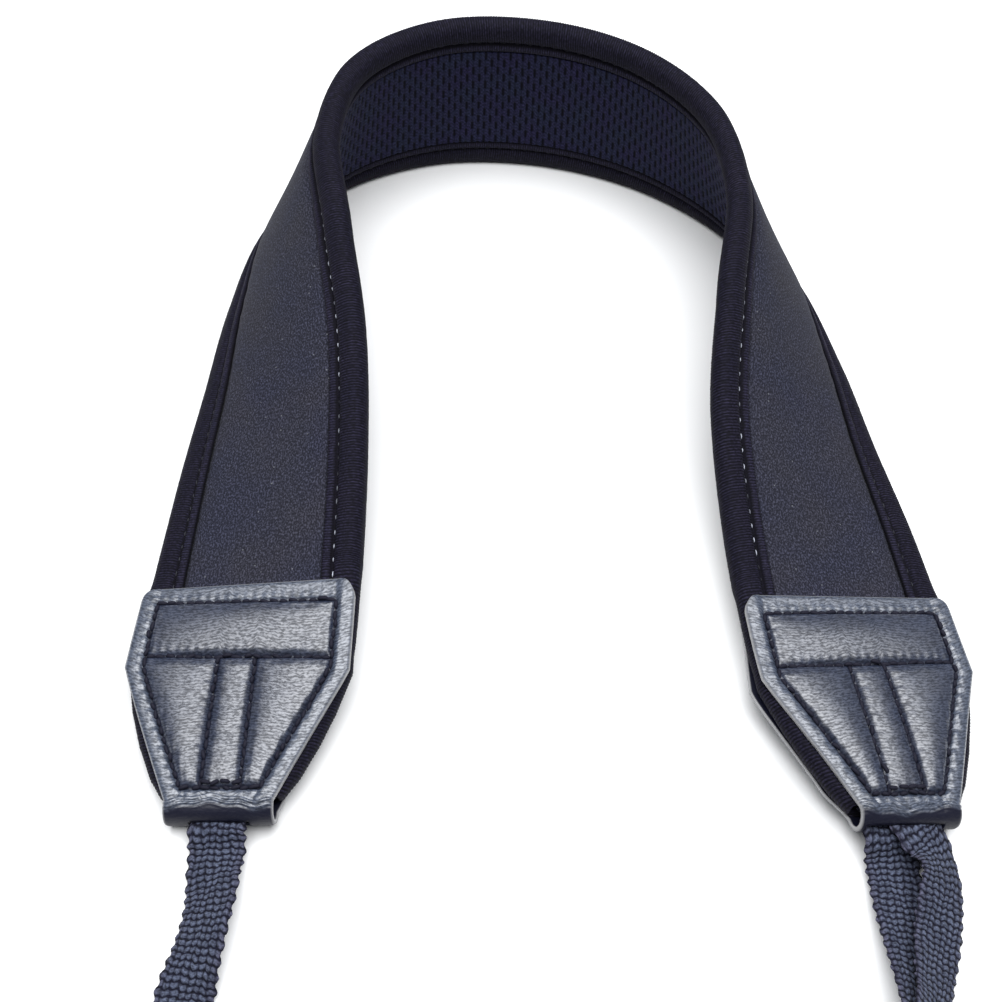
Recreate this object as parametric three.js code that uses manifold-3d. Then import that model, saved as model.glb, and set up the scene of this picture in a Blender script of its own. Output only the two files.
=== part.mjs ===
// Padded camera neck strap, lying on a flat surface as an upturned U. Millimetres, +Z up.
// The band stands on its lower edge round the bend and leans over to lie nearly flat along both legs.
// A place on the strap is given by its run from the middle of the bend, its width and its depth.

import * as THREE from 'three';
import Module from 'manifold-3d';

// Padded band
const bandWidth = 66;
const leftBandLength = 283;
const rightBandLength = 262;
const coreThickness = 5.6;
const coreSwell = 1.4;
const liningThickness = 1;
const clearance = 0.3;

// Stretch binding folded over both long edges
const tapeThickness = 1.1;
const bindingReach = 11.5;
const seamInset = 8;
const seamWidth = 1.8;
const seamDepth = 0.6;

// Leather end tabs, each folded round the end of the band
const leatherThickness = 1.4;
const tabLength = 67.5;
const tabShoulder = 27;
const tabEndWidth = 30;
const tabCornerRadius = 5;
const stitchInset = 5.5;
const crossSeam = 23.6;
const endSeam = 64;
const middlePanelWidth = 11;
const panelPuff = 2.2;
const leafRoom = 0.5;
const bandSqueeze = 0.6;
const squeezeRun = 8;

// Webbing that leaves the fold of each tab
const webbingWidth = 15.6;
const webbingThickness = 1.8;
const webbingShown = 56;
const webbingTuck = 5;
const tuckSpace = 3;
const runGap = 0.5;

// How the strap lies
const legSpread = 184;
const bendReach = 300;

// Route of the band's middle line from the left tab, round the bend, to the right tab.
// x is a share of half the leg spread, y of the bend's reach, and lean is in degrees from lying flat.
const routeRows = [
  { x: -0.988, y: -0.003, lean: 4 },
  { x: -1.001, y: 0.128, lean: 5 },
  { x: -1.0, y: 0.261, lean: 12 },
  { x: -1.007, y: 0.398, lean: 21 },
  { x: -1.019, y: 0.528, lean: 33 },
  { x: -1.055, y: 0.659, lean: 48 },
  { x: -1.063, y: 0.792, lean: 64 },
  { x: -0.909, y: 0.913, lean: 78 },
  { x: -0.557, y: 0.987, lean: 86 },
  { x: -0.127, y: 0.997, lean: 87 },
  { x: 0.281, y: 0.954, lean: 83 },
  { x: 0.598, y: 0.864, lean: 74 },
  { x: 0.76, y: 0.742, lean: 60 },
  { x: 0.803, y: 0.61, lean: 42 },
  { x: 0.834, y: 0.478, lean: 25 },
  { x: 0.898, y: 0.349, lean: 12 },
  { x: 0.963, y: 0.214, lean: 7 },
  { x: 1.033, y: 0.086, lean: 9 },
  { x: 1.096, y: -0.036, lean: 11 },
];

// Swell of the outer face along each leg, from the middle of the bend to the tab.
// at is a share of the leg's band length, swell a share of the core's own swell.
const swellRows = [
  { at: 0, swell: 0.7 },
  { at: 0.25, swell: 1 },
  { at: 0.5, swell: 2 },
  { at: 0.7, swell: 1.5 },
  { at: 0.85, swell: 1 },
  { at: 1, swell: 0.7 },
];

// Webbing runs, measured from the axis of the tab's fold. along is a share of the length that shows,
// aside of the webbing's width, and hold says how far the fold still holds the webbing off the surface.
const leftRun = [
  { along: -webbingTuck / webbingShown, aside: 0, lean: 0, hold: 1 },
  { along: 0.05, aside: 0, lean: 0, hold: 1 },
  { along: 0.12, aside: -0.03, lean: 1, hold: 0.95 },
  { along: 0.2, aside: -0.01, lean: 6, hold: 0.3 },
  { along: 0.32, aside: -0.01, lean: 16, hold: 0 },
  { along: 0.43, aside: 0.01, lean: 23, hold: 0 },
  { along: 0.55, aside: -0.02, lean: 27, hold: 0 },
  { along: 0.68, aside: -0.08, lean: 24, hold: 0 },
  { along: 0.78, aside: -0.15, lean: 16, hold: 0 },
  { along: 0.86, aside: -0.2, lean: 4, hold: 0 },
  { along: 0.9, aside: -0.22, lean: 0, hold: 0 },
  { along: 0.95, aside: -0.24, lean: 0, hold: 0 },
  { along: 1, aside: -0.265, lean: 0, hold: 0 },
];
const rightLowerRun = [
  { along: -webbingTuck / webbingShown, aside: 0.33, lean: 0, hold: 1 },
  { along: 0.05, aside: 0.33, lean: 0, hold: 1 },
  { along: 0.12, aside: 0.36, lean: 1, hold: 0.95 },
  { along: 0.2, aside: 0.37, lean: 4, hold: 0.3 },
  { along: 0.3, aside: 0.4, lean: 8, hold: 0 },
  { along: 0.43, aside: 0.47, lean: 12, hold: 0 },
  { along: 0.6, aside: 0.55, lean: 20, hold: 0 },
  { along: 0.8, aside: 0.66, lean: 33, hold: 0 },
  { along: 1, aside: 0.79, lean: 45, hold: 0 },
];
const rightUpperRun = [
  { along: -webbingTuck / webbingShown, aside: -0.1, lean: 0, hold: 1 },
  { along: 0.05, aside: -0.1, lean: 0, hold: 1 },
  { along: 0.11, aside: -0.16, lean: 6, hold: 0.97 },
  { along: 0.17, aside: -0.28, lean: 24, hold: 0.6 },
  { along: 0.24, aside: -0.36, lean: 36, hold: 0.15 },
  { along: 0.33, aside: -0.36, lean: 35, hold: 0 },
  { along: 0.45, aside: -0.21, lean: 29, hold: 0 },
  { along: 0.6, aside: 0.01, lean: 26, hold: 0 },
  { along: 0.76, aside: 0.26, lean: 34, hold: 0 },
  { along: 0.9, aside: 0.46, lean: 42, hold: 0 },
];

// Sizes that follow from the ones above
const halfBand = bandWidth / 2;
const edgeRadius = coreThickness / 2 + clearance + tapeThickness;
const tabCoreHalf = bandSqueeze * coreThickness / 2;
const leafInner = tabCoreHalf + clearance + tapeThickness + leafRoom;
const leafOuter = leafInner + leatherThickness;
const bandStop = tabLength - webbingTuck - tuckSpace;
const up = new THREE.Vector3(0, 0, 1);
const smooth = (x) => THREE.MathUtils.smoothstep(x, 0, 1);
const lerp = THREE.MathUtils.lerp;

// Shares through a short table with named columns, straight between its rows.
function readTable(rows, key, column, value) {
  const next = rows.findIndex((row) => row[key] >= value);
  if (next === 0) return rows[0][column];
  if (next < 0) return rows[rows.length - 1][column];
  const [a, b] = [rows[next - 1], rows[next]];
  return lerp(a[column], b[column], (value - a[key]) / (b[key] - a[key]));
}

// The route as a fine run of plan points, each with its lean, measured from the middle row.
const routeCurve = new THREE.CatmullRomCurve3(
  routeRows.map((row) => new THREE.Vector3(row.x * legSpread / 2, row.y * bendReach, row.lean)),
  false, 'catmullrom', 0.5);
const routeSteps = 40 * (routeRows.length - 1);
const route = [];
for (let i = 0; i <= routeSteps; i++) {
  const p = routeCurve.getPoint(i / routeSteps);
  const last = route[i - 1];
  const run = last ? last.run + Math.hypot(p.x - last.x, p.y - last.y) : 0;
  route.push({ x: p.x, y: p.y, lean: p.z, run });
}
const middleRun = route[routeSteps / 2].run;

// Plan point and lean at a run from the middle, going on straight past either end of the table.
function planAt(run) {
  const r = run + middleRun;
  let i = route.findIndex((p) => p.run >= r);
  if (i < 0) i = routeSteps;
  if (i === 0) i = 1;
  const [a, b] = [route[i - 1], route[i]];
  const share = (r - a.run) / (b.run - a.run);
  const kept = THREE.MathUtils.clamp(share, 0, 1);
  return { x: lerp(a.x, b.x, share), y: lerp(a.y, b.y, share), lean: lerp(a.lean, b.lean, kept) };
}

// Distance past the top edge of the nearer tab, negative on the open band.
const pastTabEdge = (run) => (run < 0 ? -run - leftBandLength : run - rightBandLength);
const runAt = (side, past) => side * ((side < 0 ? leftBandLength : rightBandLength) + past);

// Half the band's width, tapering inside the tabs.
function halfWidth(past) {
  const share = THREE.MathUtils.clamp((past - tabShoulder) / (tabLength - tabShoulder), 0, 1);
  return lerp(halfBand, tabEndWidth / 2, share);
}

// Half thickness of the core, squeezed flatter between the tab's leaves.
const coreHalf = (past) => lerp(coreThickness / 2, tabCoreHalf, smooth(1 + past / squeezeRun));

// Middle line in space: the lower edge, or the tab's back leaf, rests on the surface all along.
function middleAt(run) {
  const plan = planAt(run);
  const lean = THREE.MathUtils.degToRad(plan.lean);
  const past = pastTabEdge(run);
  const bandRest = edgeRadius + (halfBand - edgeRadius) * Math.sin(lean);
  const tabRest = leafOuter * Math.cos(lean) + halfWidth(past) * Math.sin(lean);
  const height = lerp(bandRest, tabRest, smooth(1 + past / squeezeRun));
  return { point: new THREE.Vector3(plan.x, plan.y, height), lean };
}

// Axes at a point of a strap: across points from its lower edge to its upper edge, out to its outer face.
function axesFor(point, along, lean) {
  const level = new THREE.Vector3().crossVectors(along, up).normalize();
  const rise = new THREE.Vector3().crossVectors(level, along);
  const across = level.multiplyScalar(Math.cos(lean)).addScaledVector(rise, Math.sin(lean));
  return { point, along, across, out: new THREE.Vector3().crossVectors(across, along) };
}

function axesAt(run) {
  const reach = edgeRadius;
  const along = middleAt(run + reach).point.sub(middleAt(run - reach).point).normalize();
  const { point, lean } = middleAt(run);
  return axesFor(point, along, lean);
}

const place = (axes, across, out, along = 0) => axes.point.clone()
  .addScaledVector(axes.across, across)
  .addScaledVector(axes.out, out)
  .addScaledVector(axes.along, along);

// One closed body from its points and triangles, turned so that its faces point out.
function body(points, triangles) {
  let volume = 0;
  for (const [a, b, c] of triangles) volume += points[a].dot(points[b].clone().cross(points[c]));
  const turned = volume < 0 ? triangles.map(([a, b, c]) => [a, c, b]) : triangles;
  const geometry = new THREE.BufferGeometry();
  geometry.setAttribute('position', new THREE.Float32BufferAttribute(points.flatMap((p) => p.toArray()), 3));
  geometry.setIndex(turned.flat());
  return geometry;
}

// Closed loft of rings with the same count of [across, out] corners, each at its own axes.
// Every face is split along the same diagonal of the band, so that layers keep their gap where it twists.
function loft(stations) {
  const corners = stations.map(({ ring }) => ring.map(([across, out]) => new THREE.Vector2(across, out)));
  if (THREE.ShapeUtils.area(corners[0]) < 0) corners.forEach((ring) => ring.reverse());
  const sides = corners[0].length;
  const points = corners.flatMap((ring, i) => ring.map((c) => place(stations[i].axes, c.x, c.y)));
  const triangles = [];
  for (let i = 0; i + 1 < stations.length; i++) {
    for (let j = 0; j < sides; j++) {
      const next = (j + 1) % sides;
      const a = i * sides + j;
      const b = i * sides + next;
      const [c, d] = [b + sides, a + sides];
      const rising = corners[i][j].x < corners[i][next].x;
      triangles.push(...(rising ? [[b, a, c], [c, a, d]] : [[b, a, d], [b, d, c]]));
    }
  }
  const cap = (ring, first, facing) => {
    for (const t of THREE.ShapeUtils.triangulateShape(ring, [])) {
      const turn = facing * THREE.ShapeUtils.area(t.map((k) => ring[k])) > 0;
      triangles.push((turn ? t : [t[0], t[2], t[1]]).map((k) => first + k));
    }
  };
  cap(corners[0], 0, 1);
  cap(corners[corners.length - 1], (stations.length - 1) * sides, -1);
  return body(points, triangles);
}

// Closed wall between an outer and an inner grid of points.
function shell(outer, inner) {
  const columns = outer[0].length;
  const under = outer.length * columns;
  const triangles = [];
  const quad = (a, b, c, d) => triangles.push([a, b, c], [a, c, d]);
  const rim = (a, b) => quad(b, a, under + a, under + b);
  for (let i = 0; i + 1 < outer.length; i++) {
    for (let j = 0; j + 1 < columns; j++) {
      const a = i * columns + j;
      const b = a + 1;
      const c = b + columns;
      const d = a + columns;
      quad(a, b, c, d);
      quad(under + d, under + c, under + b, under + a);
      if (i === 0) rim(a, b);
      if (i + 2 === outer.length) rim(c, d);
      if (j === 0) rim(d, a);
      if (j + 2 === columns) rim(b, c);
    }
  }
  return body([...outer.flat(), ...inner.flat()], triangles);
}

// Quarter turns of an edge, from the outer face round to the inner face.
const arcSteps = 4;
function edgeArc(centre, radius) {
  return Array.from({ length: arcSteps + 1 }, (_, i) => {
    const angle = Math.PI * (0.5 - i / arcSteps);
    return [centre + radius * Math.cos(angle), radius * Math.sin(angle)];
  });
}

// Foam core: rounded edges under the binding, and an outer face that swells between its lips.
const crownRows = [
  { at: -1, rise: 0 },
  { at: -0.98, rise: 0.5 },
  { at: -0.5, rise: 0.92 },
  { at: 0, rise: 1 },
  { at: 0.5, rise: 0.92 },
  { at: 0.98, rise: 0.5 },
  { at: 1, rise: 0 },
];
const innerLines = [-1, -0.5, 0, 0.5, 1];
function coreRing(run) {
  const past = pastTabEdge(run);
  const half = coreHalf(past);
  const legLength = run < 0 ? leftBandLength : rightBandLength;
  const open = coreSwell * readTable(swellRows, 'at', 'swell', Math.abs(run) / legLength);
  const swell = lerp(open, tapeThickness, smooth(1 + past / squeezeRun));
  const field = halfWidth(past) - bindingReach - clearance;
  const arc = edgeArc(halfWidth(past) - half - clearance - tapeThickness, half);
  return [
    ...crownRows.map(({ at, rise }) => [at * field, half + rise * swell]),
    ...arc,
    ...innerLines.map((at) => [-at * field, -half]),
    ...arc.map(([across, out]) => [-across, out]).reverse(),
  ];
}

// Knitted mesh lining: a skin on the inner face, between the lips of the binding.
function liningRing(run) {
  const past = pastTabEdge(run);
  const field = halfWidth(past) - bindingReach - clearance;
  const seat = -coreHalf(past) - clearance;
  return [
    ...innerLines.map((at) => [at * field, seat]),
    ...innerLines.map((at) => [-at * field, seat - liningThickness]),
  ];
}

// Stretch binding: a tape folded over the edge, with a sewn groove and a raised lip on both faces.
function bindingRing(run, edge) {
  const past = pastTabEdge(run);
  const rim = halfWidth(past);
  const seat = coreHalf(past) + clearance;
  const face = seat + tapeThickness;
  const leg = [
    [rim - bindingReach, seat],
    [rim - bindingReach, face - seamDepth / 2],
    [rim - bindingReach + seamDepth, face],
    [rim - seamInset - seamWidth / 2, face],
    [rim - seamInset, face - seamDepth],
    [rim - seamInset + seamWidth / 2, face],
  ];
  const ring = [
    ...leg,
    ...edgeArc(rim - face, face),
    ...leg.map(([across, out]) => [across, -out]).reverse(),
    ...edgeArc(rim - face, seat).reverse(),
  ];
  return ring.map(([across, out]) => [edge * across, out]);
}

// Runs where the band's pieces have a section: even steps on the open band, and the tab's own lines.
const openSteps = 30;
const liningStop = squeezeRun;
const shoulderHalf = tabShoulder / 2;
const tabLines = [bandStop, (bandStop + tabShoulder) / 2, tabShoulder, shoulderHalf, liningStop, 0, -squeezeRun / 2];
const openStart = runAt(-1, -squeezeRun);
const openEnd = runAt(1, -squeezeRun);
const bandRuns = [
  ...tabLines.map((past) => runAt(-1, past)),
  ...Array.from({ length: openSteps + 1 }, (_, i) => lerp(openStart, openEnd, i / openSteps)),
  ...tabLines.map((past) => runAt(1, past)).reverse(),
];
const bandLoft = (ringAt, runs = bandRuns) => loft(runs.map((run) => ({ axes: axesAt(run), ring: ringAt(run) })));
const liningRuns = bandRuns.filter((run) => pastTabEdge(run) <= liningStop);

// Tab: one leather piece folded round the end of the band. Its front leaf is quilted into a top bar and
// three panels. at counts from the middle: 1 is the inner seam, 2 the edge stitches, 3 the leaf's edge.
const puffColumns = [
  { at: 0, bar: 1, panel: 0.8 },
  { at: 1, bar: 1, panel: 0 },
  { at: 1.2, bar: 1, panel: 0.75 },
  { at: 1.5, bar: 0.95, panel: 1 },
  { at: 1.8, bar: 0.7, panel: 0.75 },
  { at: 2, bar: 0, panel: 0 },
  { at: 3, bar: 0, panel: 0 },
];
const barRows = [{ at: 0.15, puff: 0.7 }, { at: 0.5, puff: 1 }, { at: 0.85, puff: 0.75 }];
const panelRows = [{ at: 0.08, puff: 0.7 }, { at: 0.35, puff: 1 }, { at: 0.65, puff: 0.95 }, { at: 0.93, puff: 0.65 }];
const foldSteps = 5;

function tabRowList() {
  const corner = [0, 0.15, 0.5].map((share) => share * tabCornerRadius);
  const quarter = Math.PI / 2;
  const leaf = (past, angle) => ({ past, angle, bar: 0, panel: 0 });
  return [
    ...corner.map((past) => leaf(past, quarter)),
    leaf(stitchInset, quarter),
    ...barRows.map(({ at, puff }) => ({ ...leaf(lerp(stitchInset, crossSeam, at), quarter), bar: puff })),
    leaf(crossSeam, quarter),
    ...panelRows.map(({ at, puff }) => ({ ...leaf(lerp(crossSeam, endSeam, at), quarter), panel: puff })),
    leaf(endSeam, quarter),
    ...Array.from({ length: foldSteps + 1 }, (_, i) => leaf(tabLength, quarter * (1 - 2 * i / foldSteps))),
    ...[(tabLength + tabShoulder) / 2, tabShoulder, stitchInset].map((past) => leaf(past, -quarter)),
    ...corner.reverse().map((past) => leaf(past, -quarter)),
  ];
}

function leafAcross(at, past) {
  const cut = tabCornerRadius - Math.min(past, tabCornerRadius);
  const corner = tabCornerRadius - Math.sqrt(tabCornerRadius ** 2 - cut ** 2);
  const stops = [0, middlePanelWidth / 2, halfWidth(past) - stitchInset, halfWidth(past) - corner];
  const low = Math.min(Math.floor(at), stops.length - 2);
  return lerp(stops[low], stops[low + 1], at - low);
}

function tabShell(side) {
  const columns = [
    ...puffColumns.slice(1).reverse().map((column) => ({ ...column, mirror: -1 })),
    ...puffColumns.map((column) => ({ ...column, mirror: 1 })),
  ];
  const grid = (radius, quilted) => tabRowList().map((row) => {
    const axes = axesAt(runAt(side, row.past));
    return columns.map((column) => {
      const puff = quilted ? panelPuff * (row.bar * column.bar + row.panel * column.panel) : 0;
      const reach = radius + puff;
      const across = column.mirror * leafAcross(column.at, row.past);
      return place(axes, across, reach * Math.sin(row.angle), side * reach * Math.cos(row.angle));
    });
  });
  return shell(grid(leafOuter, true), grid(leafInner, false));
}

// Webbing: axes along one run, from inside the tab's fold out to its end.
const stepsPerRow = 2;
function webbingPoints(side, rows, layer) {
  const fold = axesAt(runAt(side, tabLength));
  const foldLean = middleAt(runAt(side, tabLength)).lean;
  const forward = fold.along.clone().setZ(0).normalize().multiplyScalar(side);
  const aside = new THREE.Vector3().crossVectors(forward, up).multiplyScalar(side);
  return rows.map((row) => {
    const out = row.along * webbingShown;
    const across = row.aside * webbingWidth;
    const ownLean = THREE.MathUtils.degToRad(row.lean);
    const rest = webbingThickness / 2 * Math.cos(ownLean) + webbingWidth / 2 * Math.sin(ownLean);
    const lying = fold.point.clone().addScaledVector(forward, out).addScaledVector(aside, across).setZ(rest);
    const held = place(fold, across, layer, side * out);
    return { point: lying.lerp(held, row.hold), lean: lerp(ownLean, foldLean, row.hold) };
  });
}

function webbingAxes(side, rows) {
  const line = new THREE.CatmullRomCurve3(rows.map((row) => row.point));
  const leans = new THREE.CatmullRomCurve3(rows.map((row) => new THREE.Vector3(row.lean, 0, 0)), false, 'catmullrom');
  const steps = stepsPerRow * (rows.length - 1);
  return Array.from({ length: steps + 1 }, (_, i) => {
    const along = line.getTangent(i / steps).multiplyScalar(side);
    return axesFor(line.getPoint(i / steps), along, leans.getPoint(i / steps).x);
  });
}

function webbingRing(room = 0) {
  const half = webbingWidth / 2 + room;
  const thick = webbingThickness / 2 + room;
  return [[-half, 0], [thick - half, -thick], [half - thick, -thick], [half, 0], [half - thick, thick], [thick - half, thick]];
}
const strip = (axesList, room) => loft(axesList.map((axes) => ({ axes, ring: webbingRing(room) })));

// The left run ends in a plain cut. The two right runs close in one small fold at their far end.
const layerStep = webbingThickness + runGap;
const leftAxes = webbingAxes(-1, webbingPoints(-1, leftRun, 0));
const lowerAxes = webbingAxes(1, webbingPoints(1, rightLowerRun, -layerStep / 2));
const lowerEnd = lowerAxes[lowerAxes.length - 1];
const upperEnd = {
  point: place(lowerEnd, 0, layerStep),
  lean: THREE.MathUtils.degToRad(rightLowerRun[rightLowerRun.length - 1].lean),
};
const upperAxes = webbingAxes(1, [...webbingPoints(1, rightUpperRun, layerStep / 2), upperEnd]);
const turnSteps = 4;
const turnAxes = Array.from({ length: turnSteps - 1 }, (_, i) => {
  const angle = Math.PI * (i + 1) / turnSteps;
  const [forth, over] = [Math.sin(angle), (1 - Math.cos(angle))].map((share) => share * layerStep / 2);
  const along = lowerEnd.along.clone().multiplyScalar(Math.cos(angle)).addScaledVector(lowerEnd.out, Math.sin(angle));
  return {
    point: place(lowerEnd, 0, over, forth),
    along,
    across: lowerEnd.across,
    out: new THREE.Vector3().crossVectors(lowerEnd.across, along),
  };
});
const backAxes = upperAxes.slice().reverse().map((axes) => ({
  ...axes,
  along: axes.along.clone().negate(),
  out: axes.out.clone().negate(),
}));

// Cuts the slit for the webbing through the fold of a tab.
const wasm = await Module();
wasm.setup();
function solid(geometry) {
  const vertProperties = geometry.getAttribute('position').array;
  const triVerts = new Uint32Array(geometry.getIndex().array);
  return new wasm.Manifold(new wasm.Mesh({ numProp: 3, vertProperties, triVerts }));
}
function cut(geometry, cutters) {
  const mesh = cutters.reduce((left, cutter) => left.subtract(solid(cutter)), solid(geometry)).getMesh();
  const result = new THREE.BufferGeometry();
  result.setAttribute('position', new THREE.BufferAttribute(mesh.vertProperties, 3));
  result.setIndex(Array.from(mesh.triVerts));
  return result;
}
const cutRows = 5 * stepsPerRow;
const slit = (axesList) => strip(axesList, clearance);

// Finishes
const finish = (color, roughness) => new THREE.MeshStandardMaterial({ color, roughness, metalness: 0 });
const jersey = finish(0x23252b, 0.9);
const knit = finish(0x171a2b, 0.95);
const tape = finish(0x15141c, 0.85);
const leather = finish(0x3a414c, 0.5);
const woven = finish(0x2a2a3a, 0.9);

const strap = new THREE.Group();
function add(name, geometry, material) {
  const mesh = new THREE.Mesh(geometry, material);
  mesh.name = name;
  strap.add(mesh);
}
add('neoprene_pad', bandLoft(coreRing), jersey);
add('mesh_lining', bandLoft(liningRing, liningRuns), knit);
add('edge_binding_upper', bandLoft((run) => bindingRing(run, 1)), tape);
add('edge_binding_lower', bandLoft((run) => bindingRing(run, -1)), tape);
add('leather_tab_left', cut(tabShell(-1), [slit(leftAxes.slice(0, cutRows))]), leather);
add('leather_tab_right', cut(tabShell(1), [slit(lowerAxes.slice(0, cutRows)), slit(backAxes.slice(-cutRows))]), leather);
add('webbing_left', strip(leftAxes), woven);
add('webbing_right', strip([...lowerAxes, ...turnAxes, ...backAxes]), woven);

// The origin lies on the surface, under the middle of the strap's footprint.
const box = new THREE.Box3().setFromObject(strap);
const middle = box.getCenter(new THREE.Vector3());
strap.children.forEach((mesh) => mesh.position.set(-middle.x, -middle.y, -box.min.z));

export default strap;
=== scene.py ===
import math

import bmesh
import bpy
import numpy as np
from mathutils import Matrix


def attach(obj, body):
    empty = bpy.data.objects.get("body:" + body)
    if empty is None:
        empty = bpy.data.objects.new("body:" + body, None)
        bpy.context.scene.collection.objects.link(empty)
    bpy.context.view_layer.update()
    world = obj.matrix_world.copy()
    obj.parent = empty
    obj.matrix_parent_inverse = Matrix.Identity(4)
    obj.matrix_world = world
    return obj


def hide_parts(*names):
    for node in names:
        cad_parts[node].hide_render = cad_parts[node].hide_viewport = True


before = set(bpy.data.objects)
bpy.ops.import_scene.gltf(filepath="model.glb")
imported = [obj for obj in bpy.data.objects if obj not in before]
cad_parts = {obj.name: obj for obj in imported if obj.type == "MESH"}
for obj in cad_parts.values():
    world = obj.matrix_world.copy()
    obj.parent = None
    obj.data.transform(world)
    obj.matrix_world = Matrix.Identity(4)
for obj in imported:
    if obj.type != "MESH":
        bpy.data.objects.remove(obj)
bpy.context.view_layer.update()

# The view: a camera above the webbing ends, a pale table top and one broad soft light overhead.
# The light hangs like a ceiling panel, so faces that look up shine and steep sides fall dark.
image_side = 1002
focal_pixels = 1385.55
camera_spot = (-0.01777, -0.28777, 0.35791)
camera_pitch = 0.66954
camera_roll = 0.05142
sensor_width = 36
camera_data = bpy.data.cameras.new("photo_camera")
camera_data.sensor_width = sensor_width
camera_data.lens = focal_pixels / image_side * sensor_width
camera = bpy.data.objects.new("photo_camera", camera_data)
camera.matrix_world = (
    Matrix.Translation(camera_spot)
    @ Matrix.Rotation(camera_pitch, 4, "X")
    @ Matrix.Rotation(camera_roll, 4, "Z")
)
bpy.context.scene.collection.objects.link(camera)
bpy.context.scene.camera = camera
bpy.context.scene.view_settings.view_transform = "Standard"

room = bpy.data.worlds.new("pale_room")
room.use_nodes = True
room.node_tree.nodes["Background"].inputs["Color"].default_value = (0.93, 0.96, 1, 1)
room.node_tree.nodes["Background"].inputs["Strength"].default_value = 0.16
bpy.context.scene.world = room

panel_height = 1.3
panel_data = bpy.data.lights.new("ceiling_panel", "AREA")
panel_data.shape = "RECTANGLE"
panel_data.size, panel_data.size_y = 1.7, 1.6
panel_data.energy = 43
panel_data.color = (0.98, 0.99, 1)
panel = bpy.data.objects.new("ceiling_panel", panel_data)
panel.location = (0, 0.05, panel_height)
bpy.context.scene.collection.objects.link(panel)


def put(tree, kind, sockets=None, **settings):
    """A shader node with its settings, and its inputs set to a value or linked."""
    made = tree.nodes.new("ShaderNode" + kind)
    for key, value in settings.items():
        setattr(made, key, value)
    for key, value in (sockets or {}).items():
        if isinstance(value, bpy.types.NodeSocket):
            tree.links.new(value, made.inputs[key])
        else:
            made.inputs[key].default_value = value
    return made


def new_finish(name, roughness, specular, sheen=0):
    """A material with its node tree and its shader."""
    finish = bpy.data.materials.new(name)
    finish.use_nodes = True
    shader = finish.node_tree.nodes["Principled BSDF"]
    shader.inputs["Roughness"].default_value = roughness
    shader.inputs["Specular IOR Level"].default_value = specular
    shader.inputs["Sheen Weight"].default_value = sheen
    return finish, finish.node_tree, shader.inputs


def mixed(tree, share, a, b, way="MIX"):
    """Colour a mixed with colour b by a share, or multiplied by it."""
    return put(tree, "Mix", {0: share, 6: a, 7: b}, data_type="RGBA", blend_type=way).outputs[2]


floor_half = 3
floor_drop = 0.0002
floor_mesh = bpy.data.meshes.new("table_top")
floor_corners = [(x * floor_half, y * floor_half, -floor_drop) for x, y in ((-1, -1), (1, -1), (1, 1), (-1, 1))]
floor_mesh.from_pydata(floor_corners, [], [(0, 1, 2, 3)])
table_top = bpy.data.objects.new("table_top", floor_mesh)
bpy.context.scene.collection.objects.link(table_top)
pale_board, tree, shader = new_finish("pale_board", roughness=0.6, specular=0.2)
mottle = put(tree, "TexNoise", {"Scale": 9, "Detail": 2})
board_tone = mixed(tree, mottle.outputs["Fac"], (0.9, 0.9, 0.9, 1), (0.92, 0.92, 0.92, 1))
tree.links.new(board_tone, shader["Base Color"])
floor_mesh.materials.append(pale_board)

# Padded band: a foam core with a fine charcoal jersey over it, cut as one long strip.
# It stands on its lower edge round the bend and leans over to lie nearly flat along both legs.
mm = 0.001
band_width = 66 * mm
left_length = 283 * mm
right_length = 262 * mm
core_thickness = 5.6 * mm
core_swell = 1.4 * mm
clearance = 0.3 * mm
tape_thickness = 1.1 * mm
binding_reach = 11.5 * mm
leather_thickness = 1.4 * mm
leaf_room = 0.5 * mm
tab_length = 67.5 * mm
tab_shoulder = 27 * mm
tab_end_width = 30 * mm
band_stop = 59.5 * mm
band_squeeze = 0.6
squeeze_run = 8 * mm
leg_spread = 184 * mm
bend_reach = 300 * mm
strap_shift = np.array([1.2335, -127.5374, 0.0688]) * mm
# Route of the band's middle line: x share of half the leg spread, y share of the reach, lean in degrees.
route_rows = np.array([
    (-0.988, -0.003, 4), (-1.001, 0.128, 5), (-1.0, 0.261, 12), (-1.007, 0.398, 21), (-1.019, 0.528, 33),
    (-1.055, 0.659, 48), (-1.063, 0.792, 64), (-0.909, 0.913, 78), (-0.557, 0.987, 86), (-0.127, 0.997, 87),
    (0.281, 0.954, 83), (0.598, 0.864, 74), (0.76, 0.742, 60), (0.803, 0.61, 42), (0.834, 0.478, 25),
    (0.898, 0.349, 12), (0.963, 0.214, 7), (1.033, 0.086, 9), (1.096, -0.036, 11),
])
# Swell of the outer face along each leg: share of the leg's length, share of the core's own swell.
swell_rows = np.array([(0, 0.7), (0.25, 1), (0.5, 2), (0.7, 1.5), (0.85, 1), (1, 0.7)])

half_band = band_width / 2
edge_radius = core_thickness / 2 + clearance + tape_thickness
tab_core_half = band_squeeze * core_thickness / 2
leaf_inner = tab_core_half + clearance + tape_thickness + leaf_room
leaf_outer = leaf_inner + leather_thickness


def smooth(x):
    """A soft step from 0 at 0 to 1 at 1."""
    x = np.clip(x, 0, 1)
    return x * x * (3 - 2 * x)


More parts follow.
